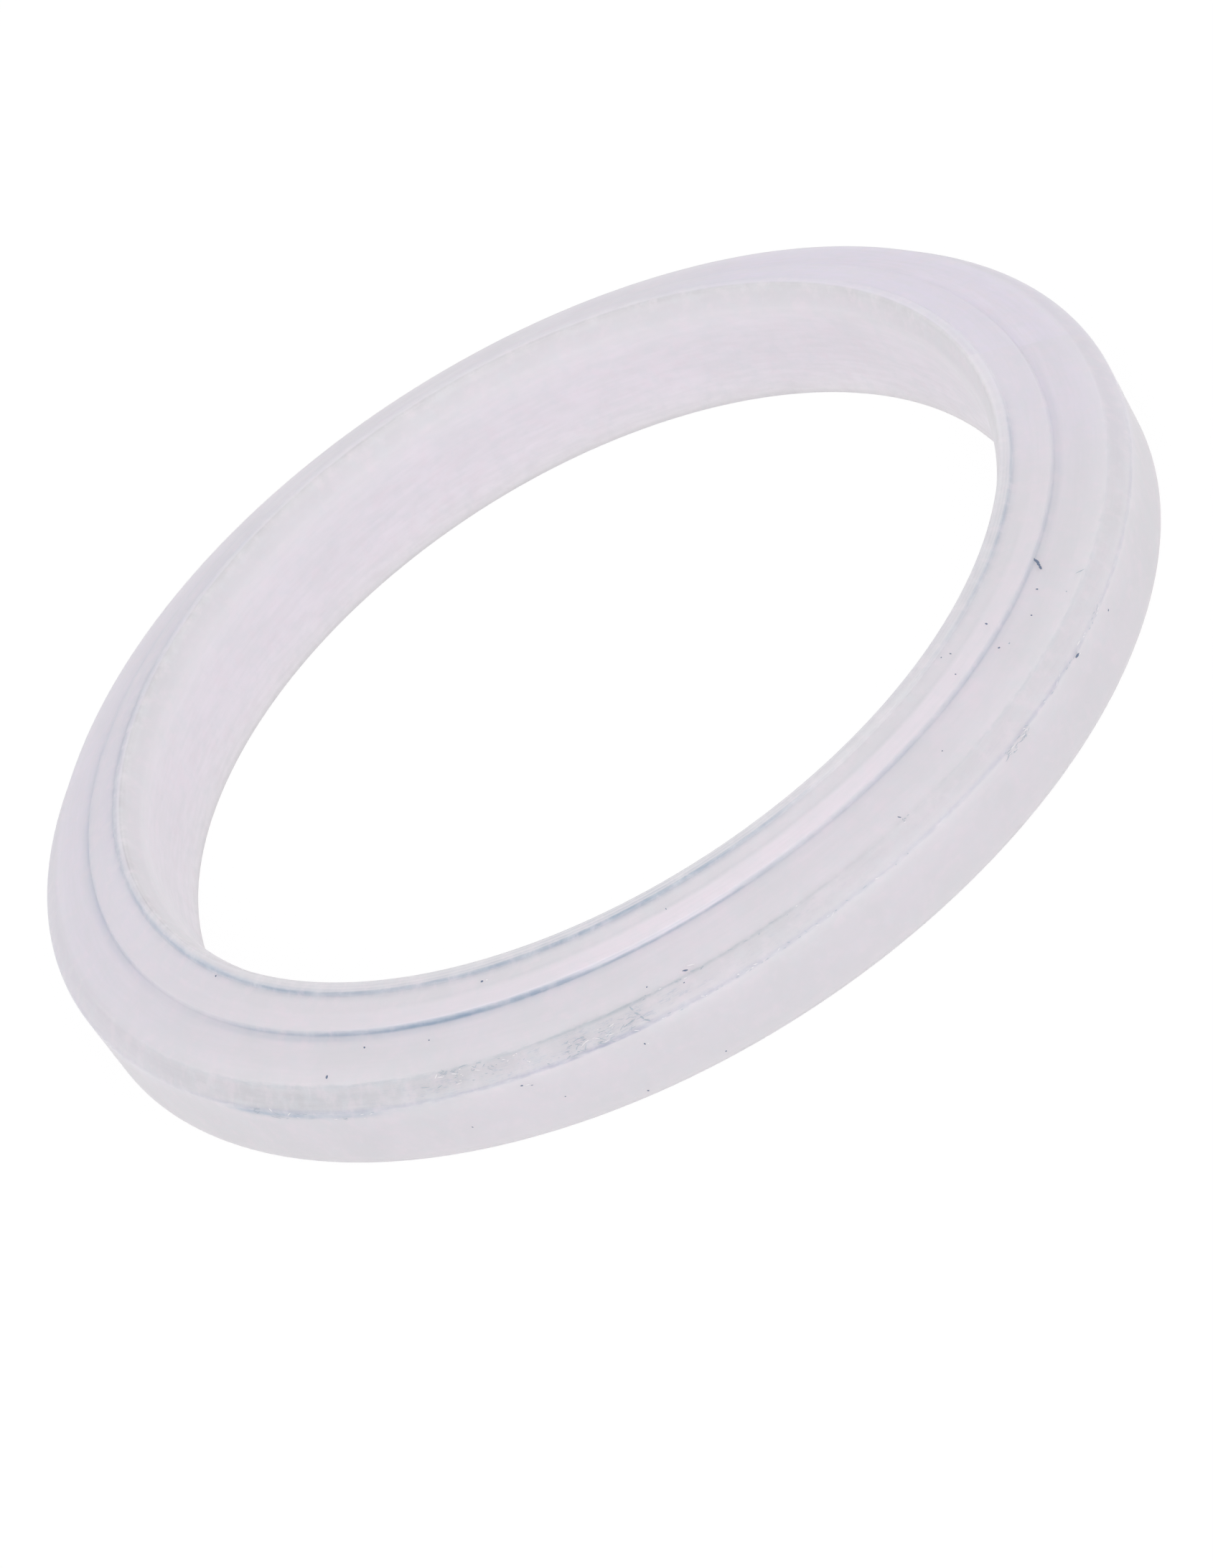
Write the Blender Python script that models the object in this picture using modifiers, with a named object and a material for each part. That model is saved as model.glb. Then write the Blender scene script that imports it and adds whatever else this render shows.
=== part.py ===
# Group head gasket: one moulded silicone ring.
# It seals the rim of an espresso machine's filter holder against the group head.
# The ring stands on its flat underside. The origin is the centre of that face, and +Z is the ring's axis.

import math

import bpy

MM = 0.001

# Ring as a whole
OUTER_DIAMETER = 64.0 * MM  # at the parting edge, where the outer wall is widest
BORE_DIAMETER = 50.2 * MM  # narrowest part of the bore, at the underside
HEIGHT = 7.5 * MM  # underside to the sharp corner of the inner rim, before it is rounded
WALL_DRAFT = 0.2 * MM  # the outer wall narrows by this on each side, down to the underside

# Bore: nearly straight, with a flared mouth below the rim
LOWER_BORE_HEIGHT = 6.2 * MM
LOWER_BORE_TAPER = 0.1 * MM
FLARE_WIDTH = 0.7 * MM

# Rim round the mouth of the bore, and the crease behind it
RIM_WIDTH = 0.6 * MM
RIM_FALL = 0.14 * MM
CREASE_WIDTH = 0.1 * MM
CREASE_DEPTH = 0.16 * MM

# Sealing land between the crease and the step, in two slopes
INNER_LAND_WIDTH = 0.85 * MM
INNER_LAND_FALL = 0.26 * MM
OUTER_LAND_WIDTH = 0.95 * MM
OUTER_LAND_FALL = 0.42 * MM

# Step at the outside of the land, then the wide cone
STEP_WIDTH = 0.1 * MM
STEP_HEIGHT = 0.22 * MM
CONE_WIDTH = 2.58 * MM
CONE_FALL = 1.02 * MM

# Shoulder bevel where the mould halves part. It ends at the outer wall.
SHOULDER_HEIGHT = 1.08 * MM

# Corner radii
UNDERSIDE_INNER_RADIUS = 0.1 * MM
UNDERSIDE_OUTER_RADIUS = 0.3 * MM
BORE_RADIUS = 0.8 * MM
RIM_INNER_RADIUS = 0.2 * MM
RIM_OUTER_RADIUS = 0.08 * MM
LAND_RADIUS = 0.8 * MM
STEP_RADIUS = 0.1 * MM
SHOULDER_RADIUS = 0.4 * MM
PARTING_EDGE_RADIUS = 0.2 * MM

# Facets
TURN_STEPS = 120
DEGREES_PER_ARC_STEP = 30.0
MOST_OF_AN_EDGE = 0.45  # a corner arc takes no more than this share of either edge beside it
MERGE_DISTANCE = 0.00001

SILICONE_COLOUR = (0.70, 0.68, 0.73, 1.0)
SILICONE_ROUGHNESS = 0.42


def clear_scene():
    for old in list(bpy.data.objects):
        bpy.data.objects.remove(old)


def section_corners():
    """The section's corners as (radius, height, corner arc), along the top, down the outside and back up the bore."""
    bore = BORE_DIAMETER / 2
    outer_wall = OUTER_DIAMETER / 2
    flare_foot = bore + LOWER_BORE_TAPER
    rim_inner = flare_foot + FLARE_WIDTH
    rim_outer = rim_inner + RIM_WIDTH
    crease = rim_outer + CREASE_WIDTH
    land_break = crease + INNER_LAND_WIDTH
    step_top = land_break + OUTER_LAND_WIDTH
    step_foot = step_top + STEP_WIDTH
    cone_edge = step_foot + CONE_WIDTH

    rim_outer_z = HEIGHT - RIM_FALL
    crease_z = rim_outer_z - CREASE_DEPTH
    land_break_z = crease_z - INNER_LAND_FALL
    step_top_z = land_break_z - OUTER_LAND_FALL
    step_foot_z = step_top_z - STEP_HEIGHT
    cone_edge_z = step_foot_z - CONE_FALL
    wall_top_z = cone_edge_z - SHOULDER_HEIGHT

    return [
        (rim_inner, HEIGHT, RIM_INNER_RADIUS),
        (rim_outer, rim_outer_z, RIM_OUTER_RADIUS),
        (crease, crease_z, RIM_OUTER_RADIUS),
        (land_break, land_break_z, LAND_RADIUS),
        (step_top, step_top_z, STEP_RADIUS),
        (step_foot, step_foot_z, STEP_RADIUS),
        (cone_edge, cone_edge_z, SHOULDER_RADIUS),
        (outer_wall, wall_top_z, PARTING_EDGE_RADIUS),
        (outer_wall - WALL_DRAFT, 0.0, UNDERSIDE_OUTER_RADIUS),
        (bore, 0.0, UNDERSIDE_INNER_RADIUS),
        (flare_foot, LOWER_BORE_HEIGHT, BORE_RADIUS),
    ]


def corner_arc(before, corner, after, radius):
    """Points of the arc that rounds one corner. The arc is smaller where an edge beside it is short."""
    to_before = (before[0] - corner[0], before[1] - corner[1])
    to_after = (after[0] - corner[0], after[1] - corner[1])
    length_before = math.hypot(*to_before)
    length_after = math.hypot(*to_after)
    bearing_before = math.atan2(to_before[1], to_before[0])
    bearing_after = math.atan2(to_after[1], to_after[0])
    inside = (bearing_after - bearing_before) % (2 * math.pi)
    if inside > math.pi:
        inside -= 2 * math.pi
    half = abs(inside) / 2
    setback = min(radius / math.tan(half), MOST_OF_AN_EDGE * min(length_before, length_after))
    fitted_radius = setback * math.tan(half)
    to_centre = bearing_before + inside / 2
    centre_distance = fitted_radius / math.sin(half)
    centre = (
        corner[0] + centre_distance * math.cos(to_centre),
        corner[1] + centre_distance * math.sin(to_centre),
    )
    turned = math.pi - 2 * half
    steps = max(1, math.ceil(math.degrees(turned) / DEGREES_PER_ARC_STEP))
    turn_sign = -1.0 if inside > 0 else 1.0
    middle = to_centre + math.pi
    points = []
    for i in range(steps + 1):
        bearing = middle + turn_sign * turned * (i / steps - 0.5)
        points.append(
            (
                centre[0] + fitted_radius * math.cos(bearing),
                centre[1] + fitted_radius * math.sin(bearing),
            )
        )
    return points


def rounded_section(corners):
    points = []
    for i, (radius_at, height_at, arc) in enumerate(corners):
        before = corners[i - 1][:2]
        after = corners[(i + 1) % len(corners)][:2]
        points += corner_arc(before, (radius_at, height_at), after, arc)
    return points


def turned_ring(name, section, collection):
    """The closed section turned once round Z."""
    mesh = bpy.data.meshes.new(name)
    vertices = [(radius_at, 0.0, height_at) for radius_at, height_at in section]
    edges = [(i, (i + 1) % len(section)) for i in range(len(section))]
    mesh.from_pydata(vertices, edges, [])
    ring = bpy.data.objects.new(name, mesh)
    collection.objects.link(ring)
    screw = ring.modifiers.new("turn", "SCREW")
    screw.axis = "Z"
    screw.angle = 2 * math.pi
    screw.steps = TURN_STEPS
    screw.render_steps = TURN_STEPS
    screw.use_merge_vertices = True
    screw.merge_threshold = MERGE_DISTANCE
    screw.use_smooth_shade = True
    # flat bands keep flat shading beside their small corner arcs
    ring.modifiers.new("flat_bands", "WEIGHTED_NORMAL")
    return ring


def silicone():
    material = bpy.data.materials.new("clear_silicone")
    material.use_nodes = True
    material.diffuse_color = SILICONE_COLOUR
    shader = material.node_tree.nodes["Principled BSDF"]
    shader.inputs["Base Color"].default_value = SILICONE_COLOUR
    shader.inputs["Roughness"].default_value = SILICONE_ROUGHNESS
    shader.inputs["Metallic"].default_value = 0.0
    return material


def main():
    clear_scene()
    collection = bpy.data.collections.new("group_head_gasket")
    bpy.context.scene.collection.children.link(collection)
    gasket = turned_ring("gasket", rounded_section(section_corners()), collection)
    gasket.data.materials.append(silicone())


main()
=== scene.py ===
# Group head gasket in translucent silicone, lying flat on a white table.
import math
import random

import bpy
from mathutils import Matrix, Vector


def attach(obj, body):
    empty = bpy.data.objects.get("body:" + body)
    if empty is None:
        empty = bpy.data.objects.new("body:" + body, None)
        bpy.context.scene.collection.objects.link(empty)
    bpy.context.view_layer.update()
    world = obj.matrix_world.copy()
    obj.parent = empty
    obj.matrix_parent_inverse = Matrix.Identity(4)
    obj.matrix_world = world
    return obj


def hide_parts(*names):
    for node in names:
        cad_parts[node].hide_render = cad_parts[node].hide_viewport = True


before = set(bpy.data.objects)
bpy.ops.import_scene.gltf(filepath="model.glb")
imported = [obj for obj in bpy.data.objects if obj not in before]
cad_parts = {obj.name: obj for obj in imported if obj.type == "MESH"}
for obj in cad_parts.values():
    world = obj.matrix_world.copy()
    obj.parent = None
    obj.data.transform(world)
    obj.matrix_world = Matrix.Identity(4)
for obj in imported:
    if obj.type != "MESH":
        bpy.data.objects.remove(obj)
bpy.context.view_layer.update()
mm = 0.001
print("frame loaded")


# Node helpers

def addNode(tree, kind, **settings):
    node = tree.nodes.new(kind)
    for key, value in settings.items():
        setattr(node, key, value)
    return node


def setInput(tree, node, socket, value):
    # a value is another node's output, or a plain number or colour
    if isinstance(value, bpy.types.NodeSocket):
        tree.links.new(value, node.inputs[socket])
    elif value is not None:
        node.inputs[socket].default_value = value


def mathNode(tree, operation, first, second=None, third=None, clamp=False):
    node = addNode(tree, "ShaderNodeMath", operation=operation, use_clamp=clamp)
    for i, value in enumerate((first, second, third)):
        setInput(tree, node, i, value)
    return node.outputs[0]


def mixColour(tree, factor, first, second):
    node = addNode(tree, "ShaderNodeMix", data_type="RGBA")
    setInput(tree, node, 0, factor)
    setInput(tree, node, 6, first)
    setInput(tree, node, 7, second)
    return node.outputs[2]


def remap(tree, value, fromLow, fromHigh, toLow=0.0, toHigh=1.0):
    node = addNode(tree, "ShaderNodeMapRange", clamp=True, interpolation_type="SMOOTHSTEP")
    for i, number in enumerate((value, fromLow, fromHigh, toLow, toHigh)):
        setInput(tree, node, i, number)
    return node.outputs[0]


def colour(red, green, blue):
    # a colour as it is read off a picture, 0 to 255, in the linear values that Blender takes
    linear = []
    for level in (red, green, blue):
        share = level / 255
        linear.append(share / 12.92 if share <= 0.04045 else ((share + 0.055) / 1.055) ** 2.4)
    return (*linear, 1.0)


def rampNode(tree, factor, stops):
    # stops are (position from 0 to 1, grey level)
    node = addNode(tree, "ShaderNodeValToRGB")
    curve = node.color_ramp
    curve.interpolation = "EASE"
    while len(curve.elements) < len(stops):
        curve.elements.new(1.0)
    for element, (position, level) in zip(curve.elements, stops):
        element.position = position
        element.color = (level, level, level, 1.0)
    setInput(tree, node, 0, factor)
    return node.outputs[0]


def newGroup(name, inputs, outputs):
    # inputs and outputs are (name, kind, default); kind is Float, Vector or Color
    group = bpy.data.node_groups.new(name, "ShaderNodeTree")
    for socketName, kind, default in inputs:
        socketType = "NodeSocket" + kind
        socket = group.interface.new_socket(name=socketName, in_out="INPUT", socket_type=socketType)
        if default is not None:
            socket.default_value = default
    for socketName, kind in outputs:
        socketType = "NodeSocket" + kind
        group.interface.new_socket(name=socketName, in_out="OUTPUT", socket_type=socketType)
    return group, group.nodes.new("NodeGroupInput"), group.nodes.new("NodeGroupOutput")


def useGroup(tree, group, **values):
    node = addNode(tree, "ShaderNodeGroup", node_tree=group)
    for name, value in values.items():
        setInput(tree, node, name[0].upper() + name[1:], value)
    return node.outputs


# Ring shape, in millimetres. The section is the CAD part's, with finer arcs.
ringShape = {
    "outerRadius": 32.0,
    "boreRadius": 25.1,
    "height": 7.5,
    "wallDraft": 0.2,
    "lowerBoreHeight": 6.2,
    "lowerBoreTaper": 0.1,
    "flareWidth": 0.7,
    "rimWidth": 0.6,
    "rimFall": 0.14,
    "creaseWidth": 0.1,
    "creaseDepth": 0.16,
    "innerLandWidth": 0.85,
    "innerLandFall": 0.26,
    "outerLandWidth": 0.95,
    "outerLandFall": 0.42,
    "stepWidth": 0.1,
    "stepHeight": 0.22,
    "coneWidth": 2.58,
    "coneFall": 1.02,
    "shoulderHeight": 1.08,
    "turns": 540,
    # how far the soft ring's moulded edges wander: lobes round the ring, turn of the first, size
    "sway": [(3, -23.0, 0.085), (4, 41.0, 0.076)],
    # shares of the wander that the rim's inner edge, the rim's width and the cone's width take
    "rimEdgeSway": 0.6,
    "rimWidthSway": 0.4,
    "coneWidthSway": 0.3,
    # where the rim is narrower: middle and half width in degrees, and by how much
    "rimPinch": (190.0, 24.0, 0.14),
    # corner radii and their facets, in the order of sectionCorners
    "arcs": [0.2, 0.08, 0.08, 0.8, 0.1, 0.1, 0.4, 0.2, 0.3, 0.1, 0.8],
    "arcSteps": [6, 4, 4, 3, 5, 5, 6, 6, 8, 6, 4],
    # a corner arc takes no more than this share of either edge beside it
    "mostOfAnEdge": 0.45,
}


def swayAt(shape, turn):
    total = 0
    for lobes, first, size in shape["sway"]:
        total += size * math.cos(lobes * (turn - math.radians(first)))
    return total


def pinchAt(shape, turn):
    middle, halfWidth, size = shape["rimPinch"]
    return size * math.exp(-(((math.degrees(turn) % 360 - middle) / halfWidth) ** 2))


def sectionCorners(shape, turn):
    # (radius, height) along the top, down the outside and back up the bore
    sway = swayAt(shape, turn)
    pinch = pinchAt(shape, turn)
    flareFoot = shape["boreRadius"] + shape["lowerBoreTaper"]
    rimInner = flareFoot + shape["flareWidth"] + sway * shape["rimEdgeSway"]
    rimOuter = rimInner + shape["rimWidth"] + sway * shape["rimWidthSway"] - pinch
    crease = rimOuter + shape["creaseWidth"]
    landBreak = crease + shape["innerLandWidth"] + pinch
    stepTop = landBreak + shape["outerLandWidth"]
    stepFoot = stepTop + shape["stepWidth"]
    coneEdge = stepFoot + shape["coneWidth"] - sway * shape["coneWidthSway"]
    rimOuterZ = shape["height"] - shape["rimFall"]
    creaseZ = rimOuterZ - shape["creaseDepth"]
    landBreakZ = creaseZ - shape["innerLandFall"]
    stepTopZ = landBreakZ - shape["outerLandFall"]
    stepFootZ = stepTopZ - shape["stepHeight"]
    coneEdgeZ = stepFootZ - shape["coneFall"]
    wallTopZ = coneEdgeZ - shape["shoulderHeight"] - sway
    return [
        (rimInner, shape["height"]),
        (rimOuter, rimOuterZ),
        (crease, creaseZ),
        (landBreak, landBreakZ),
        (stepTop, stepTopZ),
        (stepFoot, stepFootZ),
        (coneEdge, coneEdgeZ),
        (shape["outerRadius"], wallTopZ),
        (shape["outerRadius"] - shape["wallDraft"], 0.0),
        (shape["boreRadius"], 0.0),
        (flareFoot, shape["lowerBoreHeight"]),
    ]


def cornerArc(before, corner, after, radius, steps, mostOfAnEdge):
    toBefore = Vector(before) - Vector(corner)
    toAfter = Vector(after) - Vector(corner)
    half = toBefore.angle(toAfter) / 2
    setback = min(radius / math.tan(half), mostOfAnEdge * min(toBefore.length, toAfter.length))
    fitted = setback * math.tan(half)
    middle = (toBefore.normalized() + toAfter.normalized()).normalized()
    centre = Vector(corner) + middle * fitted / math.sin(half)
    start = Vector(corner) + toBefore.normalized() * setback - centre
    turned = (Vector(corner) + toAfter.normalized() * setback - centre).angle_signed(start)
    points = []
    for i in range(steps + 1):
        bearing = turned * i / steps
        x = start.x * math.cos(bearing) - start.y * math.sin(bearing)
        y = start.x * math.sin(bearing) + start.y * math.cos(bearing)
        points.append((centre.x + x, centre.y + y))
    return points


def ringSection(shape, turn):
    corners = sectionCorners(shape, turn)
    points = []
    for i, (arc, steps) in enumerate(zip(shape["arcs"], shape["arcSteps"])):
        after = corners[(i + 1) % len(corners)]
        points += cornerArc(corners[i - 1], corners[i], after, arc, steps, shape["mostOfAnEdge"])
    return points


def buildRing(shape):
    turns = shape["turns"]
    vertices = []
    for i in range(turns):
        turn = 2 * math.pi * i / turns
        section = ringSection(shape, turn)
        for radius, height in section:
            vertices.append((radius * mm * math.cos(turn), radius * mm * math.sin(turn), height * mm))
    count = len(section)
    faces = []
    for i in range(turns):
        here = i * count
        there = (i + 1) % turns * count
        for j in range(count):
            k = (j + 1) % count
            faces.append((here + j, here + k, there + k, there + j))
    mesh = bpy.data.meshes.new("gasketRing")
    mesh.from_pydata(vertices, [], faces)
    mesh.shade_smooth()
    ring = bpy.data.objects.new("gasketRing", mesh)
    bpy.context.scene.collection.objects.link(ring)
    # flat bands stay flat beside their small corner arcs
    weighted = ring.modifiers.new("flatBands", "WEIGHTED_NORMAL")
    weighted.weight = 80
    return ring


# Where a point lies on the ring: millimetres from the axis and above the table, and degrees round it
def makePlaceGroup(shape):
    group, given, result = newGroup(
        "ringPlace",
        [("Position", "Vector", None)],
        [
            ("Radius", "Float"),
            ("Height", "Float"),
            ("Turn", "Float"),
            ("Sway", "Float"),
            ("Along", "Vector"),
        ],
    )
    split = addNode(group, "ShaderNodeSeparateXYZ")
    group.links.new(given.outputs["Position"], split.inputs[0])
    x, y, z = split.outputs
    squareX, squareY = mathNode(group, "MULTIPLY", x, x), mathNode(group, "MULTIPLY", y, y)
    squares = mathNode(group, "ADD", squareX, squareY)
    radius = mathNode(group, "MULTIPLY", mathNode(group, "SQRT", squares), 1 / mm)
    angle = mathNode(group, "ARCTAN2", y, x)
    sway = 0.0
    for lobes, first, size in shape["sway"]:
        fromFirst = mathNode(group, "SUBTRACT", angle, math.radians(first))
        phase = mathNode(group, "MULTIPLY", fromFirst, lobes)
        lobe = mathNode(group, "MULTIPLY", mathNode(group, "COSINE", phase), size)
        sway = mathNode(group, "ADD", sway, lobe)
    # noise along the ring reads this: the direction round it, and millimetres across the section
    along = addNode(group, "ShaderNodeCombineXYZ")
    setInput(group, along, 0, mathNode(group, "COSINE", angle))
    setInput(group, along, 1, mathNode(group, "SINE", angle))
    across = mathNode(group, "SUBTRACT", radius, mathNode(group, "MULTIPLY", z, 1 / mm))
    setInput(group, along, 2, across)
    group.links.new(radius, result.inputs["Radius"])
    group.links.new(mathNode(group, "MULTIPLY", z, 1 / mm), result.inputs["Height"])
    degrees = mathNode(group, "DEGREES", angle)
    group.links.new(mathNode(group, "FLOORED_MODULO", degrees, 360.0), result.inputs["Turn"])
    group.links.new(sway, result.inputs["Sway"])
    group.links.new(along.outputs[0], result.inputs["Along"])
    return group


# Noise along the ring. Sizes are cycles in one radius along it (twice), and in a millimetre across it
noiseLook = {
    "waver": (45.0, 45.0, 5.0),
    "scuffPatch": (34.0, 34.0, 2.6),
    "scuffVein": (34.0, 34.0, 9.0),
    "streakAlong": 12.0,
    # how far a ragged line shifts (mm), and how much it fades and breaks
    "lineShift": 0.2,
    "lineBreaks": 3.0,
    # noise levels where a scuff's vein ends, and where a patch of them begins and is full
    "veinEdge": 0.06,
    "scuffEdges": (0.46, 0.58),
}


# How far the painted lines waver along the ring, about 0
def makeWaverGroup():
    group, given, result = newGroup("lineWaver", [("Along", "Vector", None)], [("Waver", "Float")])
    stretch = addNode(group, "ShaderNodeVectorMath", operation="MULTIPLY")
    group.links.new(given.outputs["Along"], stretch.inputs[0])
    stretch.inputs[1].default_value = noiseLook["waver"]
    rough = addNode(group, "ShaderNodeTexNoise", noise_dimensions="3D")
    rough.inputs["Scale"].default_value = 1.0
    rough.inputs["Detail"].default_value = 4.0
    group.links.new(stretch.outputs[0], rough.inputs["Vector"])
    group.links.new(mathNode(group, "SUBTRACT", rough.outputs["Fac"], 0.5), result.inputs["Waver"])
    return group


# A soft line at one place on the section, for the painted shade and highlight lines: 1 at Centre,
# falling off over Width, with a ragged edge
def makeLineGroup():
    group, given, result = newGroup(
        "sectionLine",
        [
            ("Place", "Float", 0.0),
            ("Centre", "Float", 0.0),
            ("Width", "Float", 0.1),
            ("Strength", "Float", 1.0),
            ("Waver", "Float", 0.0),
            ("Ragged", "Float", 0.0),
        ],
        [("Mask", "Float")],
    )
    place, centre, width, strength, waver, ragged = (given.outputs[i] for i in range(6))
    shake = mathNode(group, "MULTIPLY", waver, ragged)
    centre = mathNode(group, "MULTIPLY_ADD", shake, noiseLook["lineShift"], centre)
    away = mathNode(group, "DIVIDE", mathNode(group, "SUBTRACT", place, centre), width)
    away = mathNode(group, "MULTIPLY", away, away)
    bell = mathNode(group, "EXPONENT", mathNode(group, "MULTIPLY", away, -1.0))
    fading = mathNode(group, "MULTIPLY", shake, noiseLook["lineBreaks"])
    broken = mathNode(group, "SUBTRACT", 1.0, fading, clamp=True)
    mask = mathNode(group, "MULTIPLY", bell, broken)
    group.links.new(mathNode(group, "MULTIPLY", mask, strength, clamp=True), result.inputs["Mask"])
    return group


# 1 between two places on the section, with soft sides; it carries the painted sheen on the land
def makeBandGroup():
    group, given, result = newGroup(
        "sectionBand",
        [("Place", "Float", 0.0), ("From", "Float", 0.0), ("To", "Float", 1.0), ("Soft", "Float", 0.1)],
        [("Mask", "Float")],
    )
    place, low, high, soft = (given.outputs[i] for i in range(4))
    lowFrom, lowTo = mathNode(group, "SUBTRACT", low, soft), mathNode(group, "ADD", low, soft)
    highFrom, highTo = mathNode(group, "SUBTRACT", high, soft), mathNode(group, "ADD", high, soft)
    rise = remap(group, place, lowFrom, lowTo)
    fall = remap(group, place, highFrom, highTo, 1.0, 0.0)
    group.links.new(mathNode(group, "MULTIPLY", rise, fall), result.inputs["Mask"])
    return group


# Fine moulded streaks that run round the ring, and cloudy patches across it
def makeCloudGroup():
    group, given, result = newGroup(
        "siliconeCloud",
        [
            ("Position", "Vector", None),
            ("Along", "Vector", None),
            ("PatchSize", "Float", 4.0),
            ("StreakSize", "Float", 0.3),
        ],
        [("Patch", "Float"), ("Tint", "Float"), ("Streak", "Float")],
    )
    patch = addNode(group, "ShaderNodeTexNoise", noise_dimensions="3D")
    patch.inputs["Detail"].default_value = 4.0
    patch.inputs["Roughness"].default_value = 0.6
    group.links.new(given.outputs["Position"], patch.inputs["Vector"])
    group.links.new(mathNode(group, "DIVIDE", 1 / mm, given.outputs["PatchSize"]), patch.inputs["Scale"])
    group.links.new(patch.outputs["Fac"], result.inputs["Patch"])
    split = addNode(group, "ShaderNodeSeparateColor")
    group.links.new(patch.outputs["Color"], split.inputs[0])
    group.links.new(split.outputs[1], result.inputs["Tint"])
    stretch = addNode(group, "ShaderNodeCombineXYZ")
    parts = addNode(group, "ShaderNodeSeparateXYZ")
    group.links.new(given.outputs["Along"], parts.inputs[0])
    setInput(group, stretch, 0, mathNode(group, "MULTIPLY", parts.outputs[0], noiseLook["streakAlong"]))
    setInput(group, stretch, 1, mathNode(group, "MULTIPLY", parts.outputs[1], noiseLook["streakAlong"]))
    setInput(group, stretch, 2, mathNode(group, "DIVIDE", parts.outputs[2], given.outputs["StreakSize"]))
    streak = addNode(group, "ShaderNodeTexNoise", noise_dimensions="3D")
    streak.inputs["Scale"].default_value = 1.0
    streak.inputs["Detail"].default_value = 6.0
    group.links.new(stretch.outputs[0], streak.inputs["Vector"])
    group.links.new(streak.outputs["Fac"], result.inputs["Streak"])
    return group


# Short scratches and torn flash in the rough band where the mould halves met
def makeScuffGroup():
    group, given, result = newGroup(
        "partingScuffs",
        [("Along", "Vector", None), ("Amount", "Float", 1.0)],
        [("Mask", "Float"), ("Height", "Float")],
    )
    stretch = addNode(group, "ShaderNodeVectorMath", operation="MULTIPLY")
    group.links.new(given.outputs["Along"], stretch.inputs[0])
    stretch.inputs[1].default_value = noiseLook["scuffPatch"]
    rough = addNode(group, "ShaderNodeTexNoise", noise_dimensions="3D")
    rough.inputs["Scale"].default_value = 1.0
    rough.inputs["Detail"].default_value = 8.0
    rough.inputs["Roughness"].default_value = 0.7
    group.links.new(stretch.outputs[0], rough.inputs["Vector"])
    cut = addNode(group, "ShaderNodeTexNoise", noise_dimensions="3D")
    cut.inputs["Scale"].default_value = 1.0
    cut.inputs["Detail"].default_value = 3.0
    cut.inputs["Distortion"].default_value = 0.8
    lengthen = addNode(group, "ShaderNodeVectorMath", operation="MULTIPLY")
    group.links.new(given.outputs["Along"], lengthen.inputs[0])
    lengthen.inputs[1].default_value = noiseLook["scuffVein"]
    group.links.new(lengthen.outputs[0], cut.inputs["Vector"])
    veins = mathNode(group, "ABSOLUTE", mathNode(group, "SUBTRACT", cut.outputs["Fac"], 0.5))
    thin = remap(group, veins, 0.0, noiseLook["veinEdge"], 1.0, 0.0)
    where = remap(group, rough.outputs["Fac"], *noiseLook["scuffEdges"])
    torn = mathNode(group, "MULTIPLY", thin, where)
    mask = mathNode(group, "MULTIPLY", torn, given.outputs["Amount"], clamp=True)
    group.links.new(mask, result.inputs["Mask"])
    group.links.new(rough.outputs["Fac"], result.inputs["Height"])
    return group


def roundTheRing(tree, turn, stops):
    # stops are (turn in degrees, strength): how strong a feature is round the ring
    factor = mathNode(tree, "DIVIDE", turn, 360.0)
    return rampNode(tree, factor, [(degrees / 360, strength) for degrees, strength in stops])


def toneRamp(tree, place, stops):
    # stops are (millimetres, share of the tone)
    low, high = stops[0][0], stops[-1][0]
    factor = mathNode(tree, "DIVIDE", mathNode(tree, "SUBTRACT", place, low), high - low)
    return rampNode(tree, factor, [((at - low) / (high - low), share) for at, share in stops])
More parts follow.
